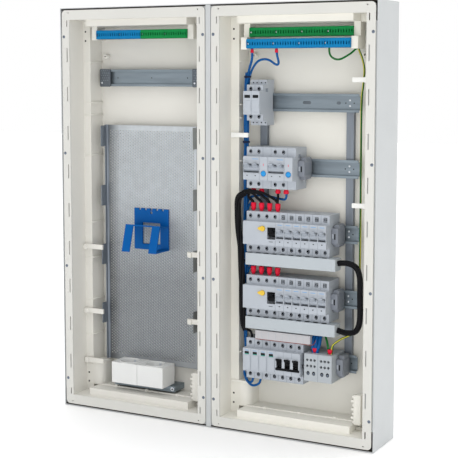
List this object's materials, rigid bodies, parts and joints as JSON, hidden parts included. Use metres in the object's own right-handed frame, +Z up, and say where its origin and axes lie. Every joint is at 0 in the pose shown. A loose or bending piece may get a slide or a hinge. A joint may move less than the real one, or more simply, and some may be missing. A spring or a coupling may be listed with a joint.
{
  "type": "distribution board",
  "caption": "Open surface-mounted distribution board with a media field and a power field: steel housing, plastic tubs, rails, breakers, switches, terminal strips and wiring.",
  "frame": {"origin": "centre of the rear face, on the wall plane", "axes": "+X to the viewer's right, +Y into the wall, +Z up"},
  "size_m": [0.695, 0.109, 0.832],
  "materials": {
    "white_powder_coat": "smooth white powder coat",
    "cream_tub_plastic": "cream moulded plastic",
    "zinc_steel": "zinc-plated steel",
    "galvanised_plate": "galvanised sheet",
    "blue_strip_plastic": "blue terminal plastic",
    "green_strip_plastic": "green terminal plastic",
    "holder_blue_plastic": "deep blue plastic",
    "socket_white_plastic": "white gloss plastic",
    "device_light_grey_plastic": "light grey satin plastic",
    "toggle_grey_plastic": "mid grey plastic",
    "toggle_black_plastic": "black plastic",
    "button_blue_plastic": "blue gloss plastic",
    "button_yellow_plastic": "yellow plastic",
    "feed_terminal_grey_plastic": "grey plastic",
    "busbar_cover_plastic": "pale grey plastic",
    "blue_wire_sheath": "blue PVC sheath",
    "black_wire_sheath": "black PVC sheath",
    "earth_wire_sheath": "green and yellow PVC sheath"
  },
  "bodies": {
    "board": {"housing": "white_powder_coat", "centre_post": "white_powder_coat", "left_tub": "cream_tub_plastic", "right_tub": "cream_tub_plastic", "left_neutral_strip": "blue_strip_plastic", "left_earth_strip": "green_strip_plastic", "left_rail": "zinc_steel", "mounting_plate": "galvanised_plate", "device_holder": "holder_blue_plastic", "socket_rail": "zinc_steel", "socket_1": "socket_white_plastic", "socket_2": "socket_white_plastic", "right_earth_strip": "green_strip_plastic", "right_neutral_strip": "blue_strip_plastic", "upright_left": "zinc_steel", "upright_right": "zinc_steel", "rail_1": "zinc_steel", "rail_2": "zinc_steel", "rail_3": "zinc_steel", "rail_4": "zinc_steel", "rail_5": "zinc_steel", "contactor": "device_light_grey_plastic", "rcbo_1": "device_light_grey_plastic", "rcbo_2": "device_light_grey_plastic", "rcd_3": "device_light_grey_plastic", "rcd_4": "device_light_grey_plastic", "mcb_bank_3": "device_light_grey_plastic", "mcb_bank_4": "device_light_grey_plastic", "surge_arrester": "device_light_grey_plastic", "main_switch": "device_light_grey_plastic", "feed_terminals": "feed_terminal_grey_plastic", "busbar_cover_3": "busbar_cover_plastic", "busbar_cover_4": "busbar_cover_plastic", "comb_busbar": "socket_white_plastic", "blue_trunk": "blue_wire_sheath", "black_bundle": "black_wire_sheath", "black_loop": "black_wire_sheath", "earth_wire": "earth_wire_sheath", "earth_link": "earth_wire_sheath"},
    "rcbo_1_toggle": {"rcbo_1_toggle": "toggle_grey_plastic"},
    "rcbo_1_test_button": {"rcbo_1_test_button": "button_blue_plastic"},
    "rcbo_2_toggle": {"rcbo_2_toggle": "toggle_grey_plastic"},
    "rcbo_2_test_button": {"rcbo_2_test_button": "button_blue_plastic"},
    "rcd_3_toggle": {"rcd_3_toggle": "toggle_black_plastic"},
    "rcd_3_test_button": {"rcd_3_test_button": "button_yellow_plastic"},
    "mcb_toggle_3_1": {"mcb_toggle_3_1": "toggle_grey_plastic"},
    "mcb_toggle_3_2": {"mcb_toggle_3_2": "toggle_grey_plastic"},
    "mcb_toggle_3_3": {"mcb_toggle_3_3": "toggle_grey_plastic"},
    "mcb_toggle_3_4": {"mcb_toggle_3_4": "toggle_grey_plastic"},
    "mcb_toggle_3_5": {"mcb_toggle_3_5": "toggle_grey_plastic"},
    "mcb_toggle_3_6": {"mcb_toggle_3_6": "toggle_grey_plastic"},
    "rcd_4_toggle": {"rcd_4_toggle": "toggle_black_plastic"},
    "rcd_4_test_button": {"rcd_4_test_button": "button_yellow_plastic"},
    "mcb_toggle_4_1": {"mcb_toggle_4_1": "toggle_grey_plastic"},
    "mcb_toggle_4_2": {"mcb_toggle_4_2": "toggle_grey_plastic"},
    "mcb_toggle_4_3": {"mcb_toggle_4_3": "toggle_grey_plastic"},
    "mcb_toggle_4_4": {"mcb_toggle_4_4": "toggle_grey_plastic"},
    "mcb_toggle_4_5": {"mcb_toggle_4_5": "toggle_grey_plastic"},
    "mcb_toggle_4_6": {"mcb_toggle_4_6": "toggle_grey_plastic"},
    "main_switch_toggle": {"main_switch_toggle": "toggle_black_plastic"}
  },
  "joints": [
    {"name": "rcbo_1_toggle_pivot", "type": "hinge", "parent": "board", "child": "rcbo_1_toggle", "pos_m": [0.0865, -0.0883, 0.10183], "axis": [1, 0, 0], "range_deg": [0, 70]},
    {"name": "rcbo_1_test_button_press", "type": "slide", "parent": "board", "child": "rcbo_1_test_button", "axis": [0, 1, 0], "range_m": [0, 0.002], "stiffness_N_per_m": 200},
    {"name": "rcbo_2_toggle_pivot", "type": "hinge", "parent": "board", "child": "rcbo_2_toggle", "pos_m": [0.139, -0.0883, 0.10183], "axis": [1, 0, 0], "range_deg": [0, 70]},
    {"name": "rcbo_2_test_button_press", "type": "slide", "parent": "board", "child": "rcbo_2_test_button", "axis": [0, 1, 0], "range_m": [0, 0.002], "stiffness_N_per_m": 200},
    {"name": "rcd_3_toggle_pivot", "type": "hinge", "parent": "board", "child": "rcd_3_toggle", "pos_m": [0.13025, -0.0883, -0.02317], "axis": [1, 0, 0], "range_deg": [0, 70]},
    {"name": "rcd_3_test_button_press", "type": "slide", "parent": "board", "child": "rcd_3_test_button", "axis": [0, 1, 0], "range_m": [0, 0.002], "stiffness_N_per_m": 200},
    {"name": "mcb_toggle_3_1_pivot", "type": "hinge", "parent": "board", "child": "mcb_toggle_3_1", "pos_m": [0.14775, -0.0883, -0.02317], "axis": [1, 0, 0], "range_deg": [0, 70]},
    {"name": "mcb_toggle_3_2_pivot", "type": "hinge", "parent": "board", "child": "mcb_toggle_3_2", "pos_m": [0.16525, -0.0883, -0.02317], "axis": [1, 0, 0], "range_deg": [0, 70]},
    {"name": "mcb_toggle_3_3_pivot", "type": "hinge", "parent": "board", "child": "mcb_toggle_3_3", "pos_m": [0.18275, -0.0883, -0.02317], "axis": [1, 0, 0], "range_deg": [0, 70]},
    {"name": "mcb_toggle_3_4_pivot", "type": "hinge", "parent": "board", "child": "mcb_toggle_3_4", "pos_m": [0.20025, -0.0883, -0.02317], "axis": [1, 0, 0], "range_deg": [0, 70]},
    {"name": "mcb_toggle_3_5_pivot", "type": "hinge", "parent": "board", "child": "mcb_toggle_3_5", "pos_m": [0.21775, -0.0883, -0.02317], "axis": [1, 0, 0], "range_deg": [0, 70]},
    {"name": "mcb_toggle_3_6_pivot", "type": "hinge", "parent": "board", "child": "mcb_toggle_3_6", "pos_m": [0.23525, -0.0883, -0.02317], "axis": [1, 0, 0], "range_deg": [0, 70]},
    {"name": "rcd_4_toggle_pivot", "type": "hinge", "parent": "board", "child": "rcd_4_toggle", "pos_m": [0.13025, -0.0883, -0.14817], "axis": [1, 0, 0], "range_deg": [0, 70]},
    {"name": "rcd_4_test_button_press", "type": "slide", "parent": "board", "child": "rcd_4_test_button", "axis": [0, 1, 0], "range_m": [0, 0.002], "stiffness_N_per_m": 200},
    {"name": "mcb_toggle_4_1_pivot", "type": "hinge", "parent": "board", "child": "mcb_toggle_4_1", "pos_m": [0.14775, -0.0883, -0.14817], "axis": [1, 0, 0], "range_deg": [0, 70]},
    {"name": "mcb_toggle_4_2_pivot", "type": "hinge", "parent": "board", "child": "mcb_toggle_4_2", "pos_m": [0.16525, -0.0883, -0.14817], "axis": [1, 0, 0], "range_deg": [0, 70]},
    {"name": "mcb_toggle_4_3_pivot", "type": "hinge", "parent": "board", "child": "mcb_toggle_4_3", "pos_m": [0.18275, -0.0883, -0.14817], "axis": [1, 0, 0], "range_deg": [0, 70]},
    {"name": "mcb_toggle_4_4_pivot", "type": "hinge", "parent": "board", "child": "mcb_toggle_4_4", "pos_m": [0.20025, -0.0883, -0.14817], "axis": [1, 0, 0], "range_deg": [0, 70]},
    {"name": "mcb_toggle_4_5_pivot", "type": "hinge", "parent": "board", "child": "mcb_toggle_4_5", "pos_m": [0.21775, -0.0883, -0.14817], "axis": [1, 0, 0], "range_deg": [0, 70]},
    {"name": "mcb_toggle_4_6_pivot", "type": "hinge", "parent": "board", "child": "mcb_toggle_4_6", "pos_m": [0.23525, -0.0883, -0.14817], "axis": [1, 0, 0], "range_deg": [0, 70]},
    {"name": "main_switch_toggle_pivot", "type": "hinge", "parent": "board", "child": "main_switch_toggle", "pos_m": [0.16525, -0.0883, -0.27317], "axis": [1, 0, 0], "range_deg": [0, 70]}
  ]
}
